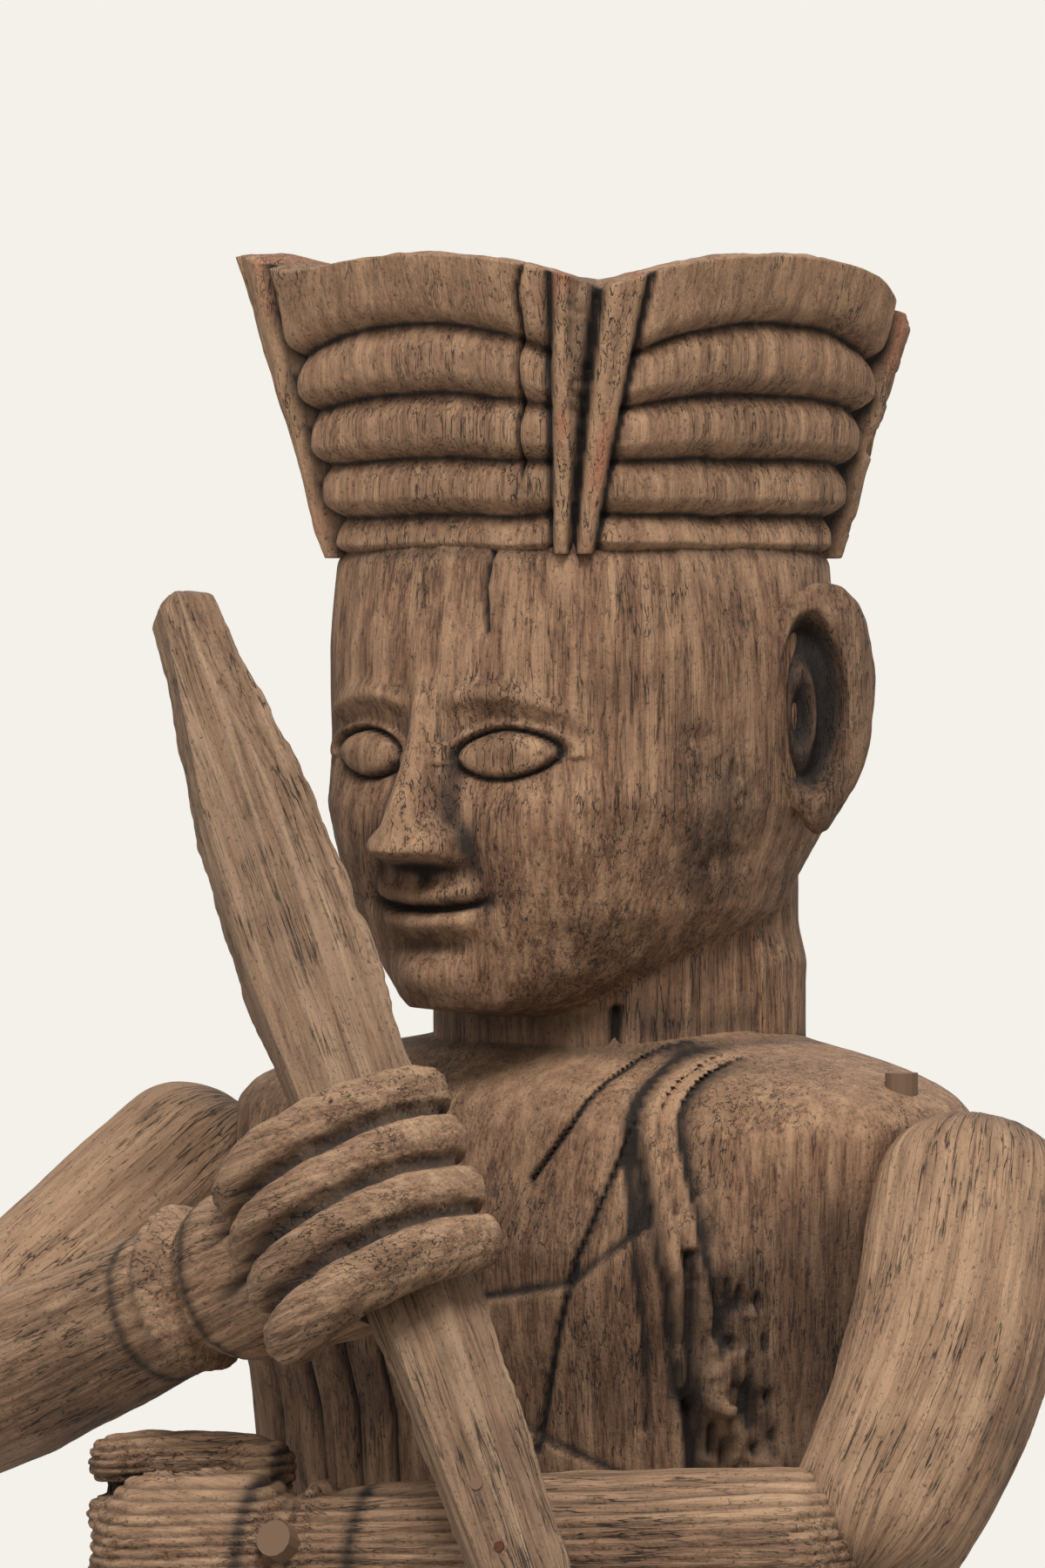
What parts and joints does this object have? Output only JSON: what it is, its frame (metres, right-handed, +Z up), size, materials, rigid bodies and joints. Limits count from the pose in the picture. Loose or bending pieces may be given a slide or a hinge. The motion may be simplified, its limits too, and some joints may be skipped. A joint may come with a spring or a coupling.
{
  "type": "doorkeeper statue",
  "caption": "Standing carved wooden doorkeeper figure with a ribbed flaring crown, pegged arms and a blunt pointed sword held across the chest",
  "frame": {"origin": "centre of the flat underside of the base", "axes": "+Z up along the figure, -Y the way the figure faces, +X the figure's left"},
  "size_m": [0.3838, 0.2861, 1],
  "materials": {
    "log_wood": "weathered dense-grained hardwood, dusty, nearly black in the cuts, traces of red paint on the crown",
    "arm_wood": "weathered hardwood with raised growth rings, lighter on the upper arm",
    "sword_wood": "weathered split hardwood with long grain and nicked edges",
    "peg_wood": "pale whittled wood, worn ends",
    "nail_iron": "rusted forged iron"
  },
  "bodies": {
    "root": {"trunk": "log_wood", "left_upper_arm": "arm_wood", "left_forearm": "arm_wood", "right_upper_arm": "arm_wood", "right_forearm": "arm_wood", "sword": "sword_wood", "left_shoulder_peg_outer": "peg_wood", "left_shoulder_peg_inner": "peg_wood", "right_shoulder_peg_outer": "peg_wood", "right_shoulder_peg_inner": "peg_wood", "left_elbow_peg": "peg_wood", "right_elbow_peg": "peg_wood", "left_wrist_peg": "peg_wood", "sword_pin": "peg_wood", "sword_nail": "nail_iron"}
  },
  "joints": []
}
